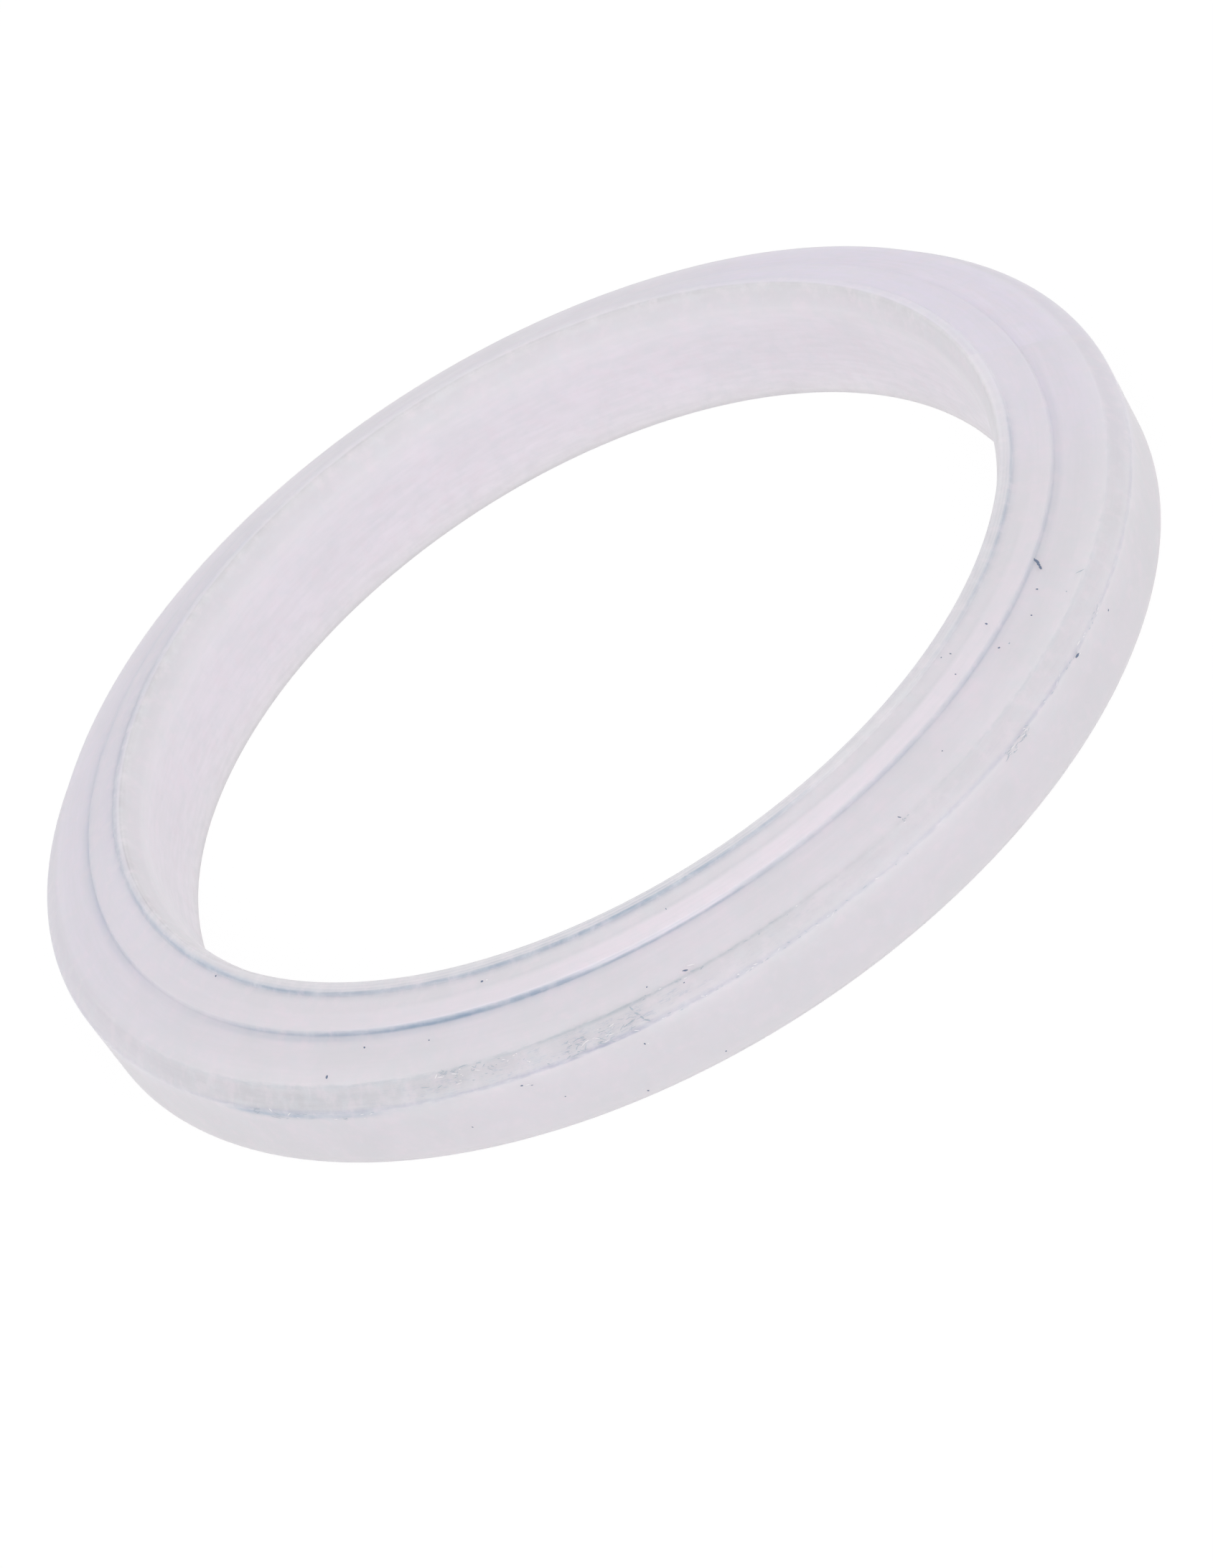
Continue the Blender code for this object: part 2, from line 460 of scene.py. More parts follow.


# Silicone: milky and soft, with painted shade in a bluish tone along the creases and the step, and a
# painted pinkish sheen on the sealing land
siliconeLook = {
    "base": colour(222, 217.5, 223.5),
    # bluish dark tone of the painted shade along the creases and the step, also of the dark band on the
    # wall and the scuffs' own tone
    "line": colour(142, 163, 186),
    # tone of the painted shade in the rim's crease and of the dark streaks over the rim
    "rimLine": colour(143, 157, 175),
    "wallLine": colour(156, 158, 182),
    "rimViolet": colour(146, 145, 176),
    # grey tone of the painted shade at the land's break and of the line at the cone's edge
    "greyLine": colour(160, 172, 181),
    # light tone of the painted highlights along the step and of the painted light on the cone
    "glow": colour(240, 233, 241),
    # pinkish painted sheen where the sealing land faces the light
    "pinkLandSheen": colour(228, 221, 228),
    "greyCone": colour(215, 214, 218),
    "partingGrey": colour(196, 197, 202),
    "violet": colour(226, 219, 237),
    "pinkMottle": colour(230, 218, 226),
    "coolMottle": colour(212, 217, 222),
    "roughness": 0.42,
    "subsurface": 1.0,
    "subsurfaceRadius": (1.0, 1.0, 1.0),
    "subsurfaceScale": 0.004,
    "index": 1.41,
    "grain": 0.00002,
    "grainStrength": 0.6,
    # how much painted shade, by radius over the top and by height up the bore
    "topTone": [(25.6, 0.1), (26.2, 0.12), (26.5, 0.08), (27.0, 0.05), (28.3, 0.04), (28.6, 0.0),
                (30.4, 0.0), (31.0, 0.02), (31.7, 0.02)],
    "boreTone": [(0.0, 0.0), (5.4, 0.0), (6.2, 0.03), (6.7, 0.08), (7.1, 0.14), (7.4, 0.25)],
    # and how much painted light, by height, at the foot where the table would light it
    "footTone": [(0.0, 1.0), (0.25, 0.9), (0.7, 0.55), (1.5, 0.45), (3.5, 0.35), (5.5, 0.25),
                 (6.5, 0.0)],
    "wallFootTone": [(0.0, 0.7), (0.2, 0.45), (0.45, 0.12), (0.8, 0.0)],
    "shadeTone": colour(120, 118, 122),
    "shoulderShare": 0.105,
    "wallShare": 0.05,
    # where masks begin and end, in millimetres: heights, radii
    "topFrom": (3.2, 3.8),
    "wallFrom": (30.6, 31.0),
    "boreEdge": (25.88, 26.05),
    "landBand": (27.55, 28.42, 0.12),
    "leftLandEdge": (28.3, 28.5),
    "partingFoot": (4.1, 4.3),
    "partingHead": (4.8, 5.5),
    "partingRadius": (30.7, 31.1),
    "shoulderFoot": (4.15, 4.35),
    "shoulderHead": (5.1, 5.4),
    # shares of each mottle and streak, and how the sheen varies
    "greyConeShare": 0.5,
    "violetShare": 0.6,
    "pinkMottleShare": 0.3,
    "coolMottleShare": 0.22,
    "streakShare": 0.3,
    "smoothest": -0.05,
    "roughest": 0.08,
    "partingRoughness": 0.15,
    "partingGrain": 0.15,
    "farWidening": 3.0,
    # noise levels between which a mottle, a streak or the sheen goes from none to full
    "tintEdges": (0.35, 0.65),
    "mottleEdges": (0.45, 0.7),
    "streakEdges": (0.3, 0.7),
    # sizes (mm) of the finer mottle
    "mottleSize": 0.8,
    "mottleStreak": 0.5,
    # measured by, at (mm), half width (mm), strength round the ring, share, raggedness, tone.
    # radius and height follow the wander, rim its narrowing too, and edge the rim's inner edge
    "lines": [
        # painted highlights along the step's edge and painted shade below it
        ("radius", 28.36, 0.05, "stepHighlight", 0.9, 0.1, "glow"),
        ("radius", 28.62, 0.2, "step", 0.16, 0.4, "line"),
        ("radius", 28.49, 0.09, "step", 1.0, 0.2, "line"),
        ("radius", 28.72, 0.16, "stepStreaks", 1.0, 0.4, "line"),
        ("radius", 28.44, 0.03, "stepSplit", 1.0, 0.1, "glow"),
        # painted shade in the rim's crease, then dark streaks over the rim
        ("rim", 26.6, 0.2, "crease", 0.3, 0.2, "rimLine"),
        ("rim", 26.52, 0.08, "crease", 1.0, 0.12, "rimLine"),
        ("rim", 26.42, 0.13, "creaseWide", 1.0, 0.4, "line"),
        ("rim", 26.33, 0.05, "rimStreaks", 1.0, 0.35, "rimLine"),
        ("rim", 26.15, 0.05, "rimStreaks", 0.7, 0.35, "rimLine"),
        ("rim", 26.0, 0.05, "rimStreaks", 0.6, 0.35, "rimLine"),
        # painted shade on the far rim's edge, a violet tone on the near rim, and painted shade over the
        # rim
        ("edge", 25.97, 0.025, "farRim", 1.0, 0.1, "shadeTone"),
        ("edge", 26.1, 0.2, "nearRim", 1.0, 0.3, "rimViolet"),
        ("edge", 25.93, 0.09, "nearRim", 1.6, 0.3, "rimViolet"),
        ("rim", 26.2, 0.14, "rimTone", 1.0, 0.2, "shadeTone"),
        # painted light and painted shade on the cone, painted shade at the land's break, and a grey line
        # at the cone's edge
        ("radius", 29.1, 0.3, "coneLight", 1.0, 0.2, "glow"),
        ("radius", 31.0, 0.3, "coneOuter", 1.0, 0.2, "shadeTone"),
        ("radius", 27.38, 0.1, "landBreak", 1.0, 0.4, "greyLine"),
        ("radius", 31.1, 0.08, "coneEdge", 1.0, 1.0, "greyLine"),
        # darker lines along the top of the wall
        ("height", 4.24, 0.1, "wallTop", 1.0, 0.9, "wallLine"),
        ("height", 4.0, 0.2, "wallDarkBand", 1.0, 0.7, "line"),
    ],
    "footLight": colour(246, 239, 247),
}
# strength of each feature round the ring; the painted shade, highlights and sheen follow how the light
# falls on each side
lineRound = {
    "crease": [(0, 0.06), (35, 0.04), (52, 0.12), (65, 0.03), (100, 0.03), (122, 0.18), (145, 0.42),
               (170, 0.5), (185, 0.56), (196, 0.62), (206, 0.6), (214, 0.82), (226, 0.8), (235, 0.68),
               (246, 0.86), (256, 0.98), (266, 1.0), (277, 0.6), (288, 0.05), (297, 0.03), (312, 0.34),
               (330, 0.56), (343, 0.36), (354, 0.08)],
    "creaseWide": [(0, 0.0), (170, 0.0), (188, 0.2), (200, 0.48), (212, 0.32), (226, 0.0)],
    "farRim": [(0, 0.12), (40, 0.14), (80, 0.16), (120, 0.17), (150, 0.2), (175, 0.26), (195, 0.18),
               (215, 0.0), (345, 0.0)],
    "nearRim": [(0, 0.0), (212, 0.0), (225, 0.04), (240, 0.02), (256, 0.1), (268, 0.08), (280, 0.12),
                (300, 0.13), (320, 0.08), (335, 0.02), (350, 0.0)],
    "coneLight": [(0, 0.3), (20, 0.32), (40, 0.12), (60, 0.02), (140, 0.02), (160, 0.12), (182, 0.14),
                  (200, 0.05), (220, 0.05), (260, 0.06), (300, 0.06), (330, 0.14)],
    "coneOuter": [(0, 0.0), (20, 0.0), (170, 0.0), (186, 0.06), (205, 0.06), (225, 0.04), (340, 0.02),
                  (350, 0.0)],
    "rimTone": [(0, 0.14), (20, 0.11), (40, 0.1), (62, 0.04), (80, 0.0), (130, 0.0), (145, 0.08),
                (165, 0.08), (182, 0.24), (200, 0.17), (212, 0.02), (225, 0.0), (262, 0.02), (280, 0.07),
                (296, 0.04), (345, 0.04)],
    "leftLand": [(0, 0.0), (105, 0.0), (120, 0.05), (140, 0.06), (160, 0.05), (176, 0.01), (190, 0.0)],
    "rimStreaks": [(0, 0.0), (205, 0.0), (218, 0.2), (235, 0.25), (258, 0.5), (274, 0.3), (290, 0.03),
                   (330, 0.2), (350, 0.0)],
    "step": [(0, 0.04), (35, 0.04), (52, 0.1), (65, 0.03), (100, 0.03), (120, 0.16), (145, 0.3),
             (170, 0.32), (185, 0.28), (195, 0.06), (205, 0.12), (214, 0.42), (226, 0.58), (235, 1.0),
             (246, 0.86), (256, 0.6), (266, 0.48), (280, 0.22), (300, 0.26), (308, 0.3), (325, 0.26),
             (335, 0.15), (343, 0.1), (356, 0.04)],
    "stepHighlight": [(0, 0.0), (222, 0.0), (232, 0.5), (242, 0.9), (262, 1.0), (275, 0.5), (285, 0.1),
                 (300, 0.0)],
    "stepSplit": [(0, 0.0), (250, 0.0), (256, 0.6), (268, 0.7), (273, 0.0)],
    "stepStreaks": [(0, 0.0), (135, 0.0), (155, 0.1), (182, 0.14), (198, 0.03), (210, 0.16), (222, 0.2),
                    (234, 0.05), (245, 0.0), (320, 0.0), (335, 0.08), (350, 0.06), (357, 0.0)],
    "land": [(0, 0.05), (100, 0.0), (200, 0.1), (220, 0.3), (240, 0.6), (262, 0.95), (280, 1.0),
             (300, 0.85), (320, 0.45), (340, 0.2), (355, 0.08)],
    "landBreak": [(0, 0.0), (220, 0.0), (245, 0.06), (270, 0.08), (300, 0.07), (320, 0.03), (335, 0.0)],
    "coneEdge": [(0, 0.0), (185, 0.0), (200, 0.12), (214, 0.3), (235, 0.34), (246, 0.42), (256, 0.66),
                 (268, 0.42), (282, 0.12), (295, 0.14), (306, 0.25), (320, 0.2), (335, 0.12),
                 (350, 0.0)],
    "wallTop": [(0, 0.0), (185, 0.2), (200, 0.15), (214, 0.4), (226, 0.4), (240, 0.38), (252, 0.75),
                (262, 0.4), (280, 0.32), (292, 0.32), (306, 0.5), (316, 0.3), (335, 0.25), (350, 0.08)],
    "wallDarkBand": [(0, 0.0), (209, 0.0), (214, 0.7), (226, 0.5), (232, 0.1), (240, 0.0)],
    "parting": [(0, 0.03), (190, 0.03), (208, 0.34), (222, 0.62), (240, 0.25), (258, 0.08), (275, 0.02),
                (345, 0.02)],
    "scuffs": [(0, 0.0), (208, 0.03), (225, 0.1), (236, 0.35), (246, 0.5), (258, 0.5), (266, 0.15),
               (290, 0.06), (308, 0.1), (318, 0.1), (330, 0.0)],
    "violet": [(0, 0.8), (25, 1.0), (45, 1.0), (60, 0.4), (80, 0.3), (150, 0.6), (175, 0.5), (195, 0.25),
               (215, 0.0), (330, 0.0), (350, 0.5)],
    "farBlur": [(0, 0.2), (40, 0.8), (60, 1.0), (120, 1.0), (160, 0.5), (185, 0.1), (200, 0.0),
                (335, 0.0)],
}


def makeSilicone(look, shape, rounds):
    material = bpy.data.materials.new("silicone")
    material.use_nodes = True
    tree = material.node_tree
    tree.nodes.clear()
    lineGroup, bandGroup, cloudGroup = makeLineGroup(), makeBandGroup(), makeCloudGroup()
    position = addNode(tree, "ShaderNodeTexCoord").outputs["Object"]
    place = useGroup(tree, makePlaceGroup(shape), position=position)
    along, height, turn, sway = place["Along"], place["Height"], place["Turn"], place["Sway"]
    radius = mathNode(tree, "SUBTRACT", place["Radius"], sway)
    wallHeight = mathNode(tree, "ADD", height, sway)
    edgeRadius = mathNode(tree, "MULTIPLY_ADD", sway, -shape["rimEdgeSway"], place["Radius"])
    middle, halfWidth, size = shape["rimPinch"]
    away = mathNode(tree, "DIVIDE", mathNode(tree, "SUBTRACT", turn, middle), halfWidth)
    away = mathNode(tree, "MULTIPLY", away, away)
    pinch = mathNode(tree, "EXPONENT", mathNode(tree, "MULTIPLY", away, -1.0))
    rimRadius = mathNode(tree, "MULTIPLY_ADD", pinch, size, radius)
    measures = {"height": wallHeight, "radius": radius, "rim": rimRadius, "edge": edgeRadius}
    strength = {name: roundTheRing(tree, turn, stops) for name, stops in rounds.items()}

    top = remap(tree, height, *look["topFrom"])
    wallSide = remap(tree, place["Radius"], *look["wallFrom"])
    inside = remap(tree, edgeRadius, *look["boreEdge"], 1.0, 0.0)
    outside = mathNode(tree, "SUBTRACT", 1.0, inside)
    waver = useGroup(tree, makeWaverGroup(), along=along)["Waver"]
    # on the far side the lines are seen nearly edge on and blur into wider streaks
    widening = mathNode(tree, "MULTIPLY", strength["farBlur"], look["farWidening"])
    far = mathNode(tree, "ADD", 1.0, widening)

    def product(*factors):
        result = factors[0]
        for factor in factors[1:]:
            result = mathNode(tree, "MULTIPLY", result, factor)
        return result

    def line(where, centre, width, name, share, ragged):
        level = product(strength[name], share, wallSide if where == "height" else top)
        mask = useGroup(
            tree,
            lineGroup,
            place=measures[where],
            centre=centre,
            width=product(far, width),
            strength=level,
            waver=waver,
            ragged=ragged,
        )
        return mask["Mask"]

    def band(at, low, high, soft):
        return useGroup(tree, bandGroup, place=at, **{"from": low, "to": high, "soft": soft})["Mask"]

    cloud = useGroup(tree, cloudGroup, position=position, along=along)
    mottle = useGroup(
        tree,
        cloudGroup,
        position=position,
        along=along,
        patchSize=look["mottleSize"],
        streakSize=look["mottleStreak"],
    )
    scuff = useGroup(tree, makeScuffGroup(), along=along)
    greyShare = remap(tree, cloud["Tint"], *look["tintEdges"], 0.0, look["greyConeShare"])
    shade = mixColour(tree, greyShare, look["base"], look["greyCone"])
    # painted shade towards the rim and the cone's edge, painted light at the foot
    boreShare = product(toneRamp(tree, height, look["boreTone"]), inside)
    topShare = product(toneRamp(tree, radius, look["topTone"]), top, outside)
    shade = mixColour(tree, mathNode(tree, "ADD", boreShare, topShare), shade, look["shadeTone"])
    footShare = product(toneRamp(tree, height, look["footTone"]), inside)
    wallFoot = product(toneRamp(tree, height, look["wallFootTone"]), outside)
    shade = mixColour(tree, mathNode(tree, "ADD", footShare, wallFoot), shade, look["footLight"])
    # a lighter violet tint over the top, strongest on the far side, where it also serves as painted
    # light on the cone
    violetShare = product(strength["violet"], product(top, look["violetShare"]), outside)
    shade = mixColour(tree, violetShare, shade, look["violet"])
    # painted sheen on the sealing land, lighter and pinker where it faces the light
    landSheenShare = product(band(radius, *look["landBand"]), strength["land"], top)
    shade = mixColour(tree, landSheenShare, shade, look["pinkLandSheen"])
    # painted shade on the land inside the step, on the left of the ring
    leftZone = remap(tree, radius, *look["leftLandEdge"], 1.0, 0.0)
    leftShare = product(leftZone, strength["leftLand"], outside)
    shade = mixColour(tree, leftShare, shade, look["shadeTone"])
    # the rough band where the mould halves met, then painted shade on the shoulder and the wall below it
    rise = remap(tree, wallHeight, *look["partingFoot"])
    fall = remap(tree, wallHeight, *look["partingHead"], 1.0, 0.0)
    partingZone = product(rise, fall, remap(tree, radius, *look["partingRadius"]))
    shade = mixColour(tree, product(partingZone, strength["parting"]), shade, look["partingGrey"])
    shoulder = product(remap(tree, wallHeight, *look["shoulderFoot"]), look["shoulderShare"])
    shoulder = product(shoulder, remap(tree, wallHeight, *look["shoulderHead"], 1.0, 0.0))
    wall = product(remap(tree, wallHeight, *look["shoulderFoot"], 1.0, 0.0), look["wallShare"])
    steepShare = product(mathNode(tree, "ADD", shoulder, wall), wallSide)
    shade = mixColour(tree, steepShare, shade, look["shadeTone"])
    scuffShare = product(partingZone, product(scuff["Mask"], strength["scuffs"]))
    shade = mixColour(tree, scuffShare, shade, look["line"])
    # lines of painted shade and painted highlights, with the rim's streaks and the lines at the cone's
    # edge and the wall's top
    for where, centre, width, name, share, ragged, tone in look["lines"]:
        shade = mixColour(tree, line(where, centre, width, name, share, ragged), shade, look[tone])
    pinkShare = remap(tree, mottle["Patch"], *look["mottleEdges"], 0.0, look["pinkMottleShare"])
    shade = mixColour(tree, pinkShare, shade, look["pinkMottle"])
    coolShare = remap(tree, mottle["Tint"], *look["mottleEdges"], 0.0, look["coolMottleShare"])
    shade = mixColour(tree, coolShare, shade, look["coolMottle"])
    streakShare = remap(tree, cloud["Streak"], *look["streakEdges"], 0.0, look["streakShare"])
    shade = mixColour(tree, streakShare, shade, look["greyCone"])

    shader = addNode(tree, "ShaderNodeBsdfPrincipled", subsurface_method="RANDOM_WALK")
    out = addNode(tree, "ShaderNodeOutputMaterial")
    tree.links.new(shader.outputs[0], out.inputs["Surface"])
    tree.links.new(shade, shader.inputs["Base Color"])
    smoothest, roughest = look["roughness"] + look["smoothest"], look["roughness"] + look["roughest"]
    roughness = remap(tree, cloud["Patch"], *look["streakEdges"], smoothest, roughest)
    roughness = mathNode(tree, "ADD", roughness, product(partingZone, look["partingRoughness"]))
    tree.links.new(roughness, shader.inputs["Roughness"])
    shader.inputs["IOR"].default_value = look["index"]
    shader.inputs["Subsurface Weight"].default_value = look["subsurface"]
    shader.inputs["Subsurface Radius"].default_value = look["subsurfaceRadius"]
    shader.inputs["Subsurface Scale"].default_value = look["subsurfaceScale"]
    partingGrain = product(partingZone, look["partingGrain"])
    grain = mathNode(tree, "MULTIPLY_ADD", scuff["Height"], partingGrain, cloud["Streak"])
    bump = addNode(tree, "ShaderNodeBump")
    bump.inputs["Strength"].default_value = look["grainStrength"]
    bump.inputs["Distance"].default_value = look["grain"]
    tree.links.new(grain, bump.inputs["Height"])
    tree.links.new(bump.outputs[0], shader.inputs["Normal"])
    return material


ringObject = buildRing(ringShape)
ringObject.data.materials.append(makeSilicone(siliconeLook, ringShape, lineRound))
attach(ringObject, "root")
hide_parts("gasket")
print("ring built", len(ringObject.data.polygons), "faces")


# Marks on the soft surface: the painted shade of small pits and a tear on low dark bumps, dark specks,
# scratches, and painted glints
markLook = {
    "seed": 7,
    "sides": 9,
    "lift": 0.008,
    # rings of points from a mark's edge to its middle: share of its size, share of the lift
    "rings": [(1.0, -0.75), (0.6, 0.7), (0.0, 1.0)],
    # how far the uneven edge and the even middle reach, as shares of the size
    "edgeReach": (0.7, 1.4),
    "middleReach": 1.15,
    # a mark higher than this (mm) lies on the top, which falls outwards by this slope
    "topFrom": 4.3,
    "topSlope": 0.4,
    "tones": {
        # painted shade of small pits and wide tears, also the tone of dark specks
        "pits": colour(98, 110, 132),
        "scratches": colour(158, 166, 176),
        # light tone of the painted glints beside pits and scratches
        "flecks": colour(238, 232, 238),
    },
    "grainScale": 9000.0,
    "lighter": 1.5,
    "lightest": 0.85,
    "roughness": 0.7,
    # turn (degrees), radius, height, length, width (mm), lean away from the ring's direction (degrees)
    # pits and dark specks, drawn as low dark bumps of painted shade
    "pits": [
        (262.8, 30.7, 5.4, 0.36, 0.11, 20),
        (223.7, 30.73, 5.42, 0.22, 0.16, 90),
        (287.8, 30.75, 5.39, 0.26, 0.07, 60),
        (312.4, 32.0, 3.93, 0.45, 0.17, 15),
        (319.4, 32.0, 3.31, 0.16, 0.13, 0),
        (241.7, 27.13, 7.05, 0.17, 0.13, 0),
        (263.7, 27.35, 6.97, 0.12, 0.06, 90),
        (311.6, 27.96, 6.76, 0.17, 0.12, 90),
        (304.3, 28.04, 6.7, 0.12, 0.09, 80),
        (306.5, 27.19, 7.04, 0.15, 0.08, 90),
        (305.7, 26.87, 7.14, 0.1, 0.07, 0),
        (314.4, 29.65, 5.88, 0.12, 0.1, 0),
        (317.9, 29.32, 6.02, 0.15, 0.12, 90),
        (309.4, 29.02, 6.12, 0.15, 0.12, 30),
        (227.6, 29.34, 6.02, 0.14, 0.11, 10),
        (235.3, 29.42, 5.97, 0.1, 0.08, 0),
        (295.9, 29.91, 5.74, 0.1, 0.07, 0),
        (258.8, 30.54, 5.46, 0.1, 0.08, 0),
        (262.2, 31.18, 5.1, 0.1, 0.07, 0),
        (244.1, 32.0, 3.68, 0.2, 0.1, 0),
        (245.0, 32.0, 3.51, 0.16, 0.05, 0),
        (256.3, 32.0, 3.35, 0.15, 0.11, 80),
        (247.1, 31.9, 2.1, 0.1, 0.08, 0),
        (237.2, 31.9, 1.8, 0.12, 0.08, 40),
        (254.1, 31.85, 0.5, 0.14, 0.1, 30),
        (262.2, 31.85, 0.6, 0.12, 0.09, 0),
        (203.0, 26.69, 7.17, 0.15, 0.11, 30),
    ],
    "scratches": [
        (234.8, 31.55, 4.73, 0.7, 0.05, 4),
        (321.2, 31.0, 5.36, 0.6, 0.06, 40),
        (310.3, 29.36, 5.99, 0.16, 0.07, 0),
        (318.3, 30.73, 5.45, 0.12, 0.08, 0),
    ],
    # painted glints on the lit edges of pits
    "flecks": [
        (263.5, 30.58, 5.45, 0.45, 0.07, 20),
        (244.7, 32.0, 3.62, 0.3, 0.05, 0),
        (256.6, 32.0, 3.28, 0.1, 0.06, 0),
        (312.8, 32.0, 3.82, 0.3, 0.05, 20),
        (242.3, 27.12, 7.05, 0.12, 0.08, 0),
    ],
    # width (mm), and the points it runs through
    "tears": [
        (0.1, [(256.6, 31.1), (256.8, 31.37), (257.2, 31.58), (257.4, 31.74), (257.9, 31.94)]),
        (0.2, [(321.9, 28.64), (321.5, 28.86)]),
        (0.14, [(321.5, 28.8), (321.1, 29.01), (320.7, 29.15)]),
    ],
    # a tear wider than this gets the pits' painted shade
    "widestScratch": 0.12,
    # beyond the cone's edge a tear's height falls one for one from this radius and height
    "coneEdge": 30,
    "tearFrom": (31.1, 5.19),
    "innerTearHeight": 6.2,
    # patches of scratches across the band between the cone and the wall:
    # turns (degrees), sides of the patch as shares of the band, how many, longest (mm)
    "patches": [
        (236, 242, 0.0, 0.6, 40, 0.42),
        (249.5, 256.5, 0.35, 1.02, 60, 0.55),
        (242, 250, 0.05, 0.9, 14, 0.25),
        (214, 229, 0.95, 1.4, 30, 0.6),
        (258, 286, 0.92, 1.06, 34, 0.35),
        (258, 276, -0.06, 0.08, 14, 0.35),
        (299, 303, 0.95, 1.4, 34, 0.5),
        (287, 288.6, -0.05, 0.1, 6, 0.2),
        (304, 319, 0.9, 1.06, 22, 0.4),
    ],
    # in a patch: share of painted glints, lengths as shares of the longest, widths (mm), lean (degrees)
    "glintShare": 0.28,
    "lengthShares": (0.25, 1.0),
    "widths": (0.03, 0.06),
    "leanSpread": 22,
}


def nearestOnRing(section, radius, height):
    # the point of the section nearest to (radius, height), and the way out of the surface there
    wanted = Vector((radius, height))
    best = None
    for i, here in enumerate(section):
        here, there = Vector(here), Vector(section[(i + 1) % len(section)])
        run = there - here
        if run.length < 0.000001:
            continue
        share = min(1.0, max(0.0, (wanted - here).dot(run) / run.length_squared))
        point = here + run * share
        if best is None or (point - wanted).length < best[0]:
            best = ((point - wanted).length, point, Vector((-run.y, run.x)).normalized())
    return best[1], best[2]


def addMark(mesh, shape, look, mark, chance):
    # a low, uneven bump in the mark's tone, laid on the ring's surface: painted shade for the pits,
    # painted glints, and the scratches' own tone
    degrees, radius, height, length, width, lean = mark
    turn, lean = math.radians(degrees), math.radians(lean)
    section = ringSection(shape, turn)
    start, sides = len(mesh["vertices"]), look["sides"]
    onTop = height > look["topFrom"]
    for size, rise in look["rings"]:
        lift = look["lift"] * rise
        for i in range(sides if size else 1):
            bearing = 2 * math.pi * i / sides
            reach = chance.uniform(*look["edgeReach"]) if size == 1.0 else look["middleReach"]
            reach = size * reach / 2
            alongMark = length * reach * math.cos(bearing)
            acrossMark = width * reach * math.sin(bearing)
            around = alongMark * math.cos(lean) - acrossMark * math.sin(lean)
            outward = alongMark * math.sin(lean) + acrossMark * math.cos(lean)
            pointTurn = turn + around / radius
            down = outward * look["topSlope"] if onTop else outward
            point, away = nearestOnRing(section, radius + outward * onTop, height - down)
            point = point + away * lift
            mesh["vertices"].append(
                (point.x * mm * math.cos(pointTurn), point.x * mm * math.sin(pointTurn), point.y * mm)
            )
    for i in range(sides):
        j = (i + 1) % sides
        mesh["faces"].append((start + i, start + j, start + sides + j, start + sides + i))
        mesh["faces"].append((start + sides + i, start + sides + j, start + 2 * sides))


def makeMarkMaterial(name, look):
    tone = look["tones"][name]
    material = bpy.data.materials.new(name)
    material.use_nodes = True
    tree = material.node_tree
    tree.nodes.clear()
    rough = addNode(tree, "ShaderNodeTexNoise")
    rough.inputs["Scale"].default_value = look["grainScale"]
    setInput(tree, rough, "Vector", addNode(tree, "ShaderNodeTexCoord").outputs["Object"])
    lighter = [min(look["lightest"], level * look["lighter"]) for level in tone[:3]]
    shader = addNode(tree, "ShaderNodeBsdfPrincipled")
    mixed = mixColour(tree, rough.outputs["Fac"], tone, (*lighter, 1.0))
    setInput(tree, shader, "Base Color", mixed)
    shader.inputs["Roughness"].default_value = look["roughness"]
    out = addNode(tree, "ShaderNodeOutputMaterial")
    tree.links.new(shader.outputs[0], out.inputs["Surface"])
    return material


def gatherMarks(look, shape, chance):
    marks = {name: list(look[name]) for name in look["tones"]}
    tearRadius, tearHeight = look["tearFrom"]
    for width, points in look["tears"]:
        for (turn, radius), (nextTurn, nextRadius) in zip(points, points[1:]):
            around = math.radians(nextTurn - turn) * radius
            outward = nextRadius - radius
            length = math.hypot(around, outward) + width
            height = look["innerTearHeight"]
            if radius > look["coneEdge"]:
                height = tearHeight - (radius - tearRadius)
            lean = math.degrees(math.atan2(outward, around))
            kind = "pits" if width > look["widestScratch"] else "scratches"
            middle = ((turn + nextTurn) / 2, (radius + nextRadius) / 2)
            marks[kind].append((*middle, height, length, width, lean))
    for fromTurn, toTurn, nearSide, farSide, count, longest in look["patches"]:
        for i in range(count):
            turn = chance.uniform(fromTurn, toTurn)
            # the band lies between the corners at the cone's edge and at the top of the wall
            edge, wall = sectionCorners(shape, math.radians(turn))[6:8]
            share = chance.uniform(nearSide, farSide)
            radius = edge[0] + (wall[0] - edge[0]) * min(share, 1.0)
            height = edge[1] + (wall[1] - edge[1]) * share
            kind = "flecks" if chance.random() < look["glintShare"] else "scratches"
            length = longest * chance.uniform(*look["lengthShares"])
            width = chance.uniform(*look["widths"])
            lean = chance.gauss(0, look["leanSpread"])
            marks[kind].append((turn, radius, height, length, width, lean))
    return marks


def buildMarks(look, shape):
    chance = random.Random(look["seed"])
    for name, marks in gatherMarks(look, shape, chance).items():
        parts = {"vertices": [], "faces": []}
        for mark in marks:
            addMark(parts, shape, look, mark, chance)
        mesh = bpy.data.meshes.new(name)
        mesh.from_pydata(parts["vertices"], [], parts["faces"])
        mesh.shade_smooth()
        mesh.materials.append(makeMarkMaterial(name, look))
        surface = bpy.data.objects.new("surface_" + name, mesh)
        bpy.context.scene.collection.objects.link(surface)
        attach(surface, "root")
        print("marks built", name, len(mesh.polygons), "faces")


buildMarks(markLook, ringShape)


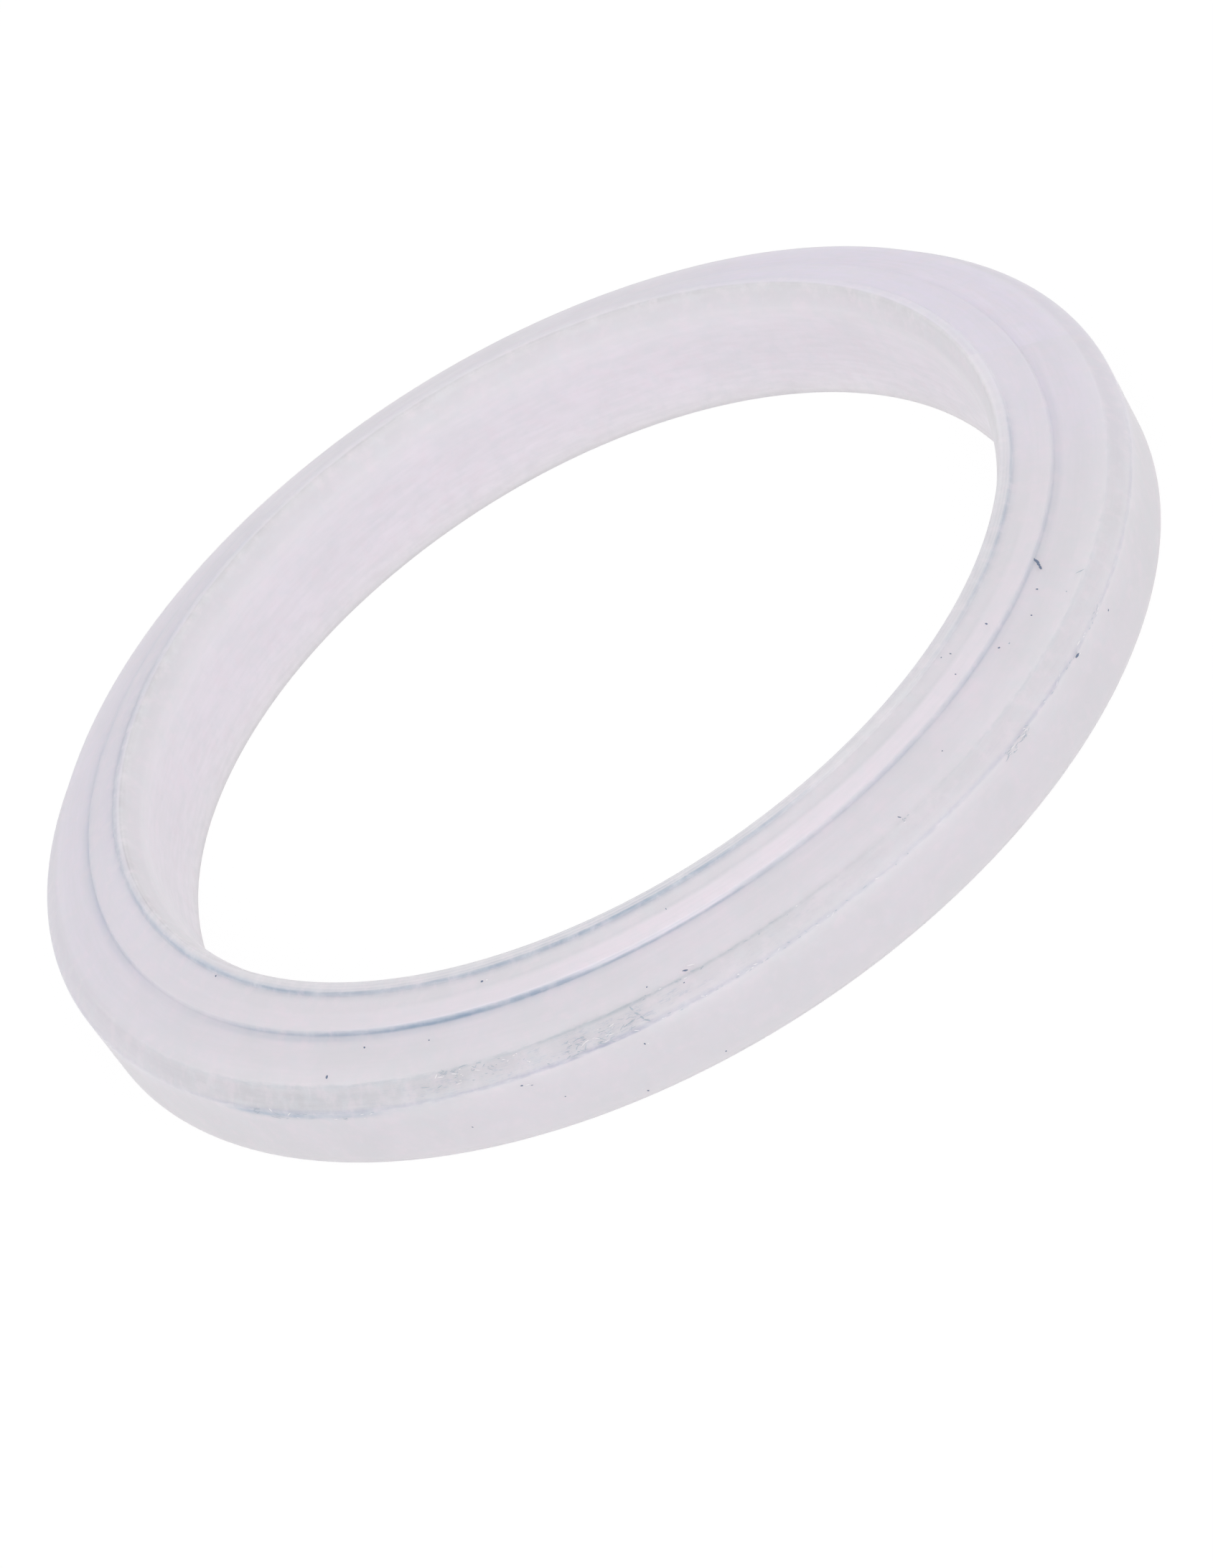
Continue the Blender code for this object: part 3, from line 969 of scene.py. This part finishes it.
# Table and light
tableLook = {
    "size": 6.0,
    # just clear of the underside
    "height": -0.00005,
    "colour": (0.9, 0.9, 0.9, 1.0),
    "shadowShare": 0.1,
    "white": 1.03,
    "glowShare": 0.25,
}


def seenDirectly(tree):
    # 1 for rays that show the table as a background: camera, glossy and transmission rays
    path = addNode(tree, "ShaderNodeLightPath")
    first = mathNode(tree, "MAXIMUM", path.outputs["Is Camera Ray"], path.outputs["Is Glossy Ray"])
    return mathNode(tree, "MAXIMUM", first, path.outputs["Is Transmission Ray"])


def makeTable(look):
    half = look["size"] / 2
    z = look["height"]
    corners = [(-half, -half, z), (half, -half, z), (half, half, z), (-half, half, z)]
    mesh = bpy.data.meshes.new("table")
    mesh.from_pydata(corners, [], [(0, 1, 2, 3)])
    table = bpy.data.objects.new("table", mesh)
    bpy.context.scene.collection.objects.link(table)
    material = bpy.data.materials.new("tableWhite")
    material.use_nodes = True
    tree = material.node_tree
    tree.nodes.clear()
    diffuse = addNode(tree, "ShaderNodeBsdfDiffuse")
    diffuse.inputs["Color"].default_value = look["colour"]
    glow = addNode(tree, "ShaderNodeEmission")
    glow.inputs["Strength"].default_value = look["white"]
    mix = addNode(tree, "ShaderNodeMixShader")
    out = addNode(tree, "ShaderNodeOutputMaterial")
    share = mathNode(tree, "MULTIPLY", seenDirectly(tree), 1 - look["shadowShare"])
    setInput(tree, mix, 0, mathNode(tree, "MAXIMUM", share, look["glowShare"]))
    tree.links.new(diffuse.outputs[0], mix.inputs[1])
    tree.links.new(glow.outputs[0], mix.inputs[2])
    tree.links.new(mix.outputs[0], out.inputs["Surface"])
    mesh.materials.append(material)
    return table


lightLook = {
    # strength of the room's light from overhead and from the sides, and how much less from behind
    "overhead": 1.0,
    "side": 1.3,
    "overheadFrom": 0.9,
    "front": 0.2,
    "frontPower": 1.0,
    "frontSize": 0.6,
    "frontPlace": (0.0, -0.7, 0.55),
}


def makeLight(look):
    world = bpy.data.worlds.new("softRoom")
    bpy.context.scene.world = world
    world.use_nodes = True
    tree = world.node_tree
    tree.nodes.clear()
    room = addNode(tree, "ShaderNodeBackground")
    towards = addNode(tree, "ShaderNodeSeparateXYZ")
    setInput(tree, towards, 0, addNode(tree, "ShaderNodeTexCoord").outputs["Generated"])
    towardsBack, up = towards.outputs[1], towards.outputs[2]
    level = remap(tree, up, 0.0, look["overheadFrom"], look["side"], look["overhead"])
    behind = mathNode(tree, "MULTIPLY", towardsBack, look["front"])
    level = mathNode(tree, "SUBTRACT", level, behind)
    setInput(tree, room, "Strength", level)
    white = addNode(tree, "ShaderNodeBackground")
    white.inputs["Color"].default_value = (1.0, 1.0, 1.0, 1.0)
    mix = addNode(tree, "ShaderNodeMixShader")
    out = addNode(tree, "ShaderNodeOutputWorld")
    setInput(tree, mix, 0, seenDirectly(tree))
    tree.links.new(room.outputs[0], mix.inputs[1])
    tree.links.new(white.outputs[0], mix.inputs[2])
    tree.links.new(mix.outputs[0], out.inputs["Surface"])
    front = bpy.data.lights.new("frontSoft", "AREA")
    front.shape = "DISK"
    front.size = look["frontSize"]
    front.energy = look["frontPower"]
    lamp = bpy.data.objects.new("frontSoft", front)
    lamp.location = look["frontPlace"]
    lamp.rotation_euler = (-lamp.location).to_track_quat("-Z", "Y").to_euler()
    bpy.context.scene.collection.objects.link(lamp)


makeTable(tableLook)
makeLight(lightLook)
print("table and light set")


# Camera, fitted to the photograph
cameraView = {
    "frameWidth": 1690,
    "frameHeight": 2184,
    "originPixel": (860.1, 1007.2),
    "pixelsPerRadius": 842.2,
    "distanceInRadii": 18.0,
    "elevation": 33.5,
    "roll": 32.71,
    "sensorWidth": 36.0,
    "nearest": 0.01,
}


def makeCamera(view, radius):
    distance = view["distanceInRadii"] * radius
    elevation = math.radians(view["elevation"])
    focalPixels = view["pixelsPerRadius"] * view["distanceInRadii"]
    data = bpy.data.cameras.new("camera")
    data.sensor_width = view["sensorWidth"]
    data.lens = focalPixels / view["frameHeight"] * data.sensor_width
    data.clip_start = view["nearest"]
    data.shift_x = (view["frameWidth"] / 2 - view["originPixel"][0]) / view["frameHeight"]
    data.shift_y = (view["originPixel"][1] - view["frameHeight"] / 2) / view["frameHeight"]
    camera = bpy.data.objects.new("camera", data)
    camera.location = (0, -distance * math.cos(elevation), distance * math.sin(elevation))
    facing = (-camera.location).to_track_quat("-Z", "Y").to_matrix().to_4x4()
    camera.rotation_euler = (facing @ Matrix.Rotation(-math.radians(view["roll"]), 4, "Z")).to_euler()
    bpy.context.scene.collection.objects.link(camera)
    bpy.context.scene.camera = camera


makeCamera(cameraView, ringShape["outerRadius"] * mm)
bpy.context.scene.view_settings.view_transform = "Standard"
print("camera set")
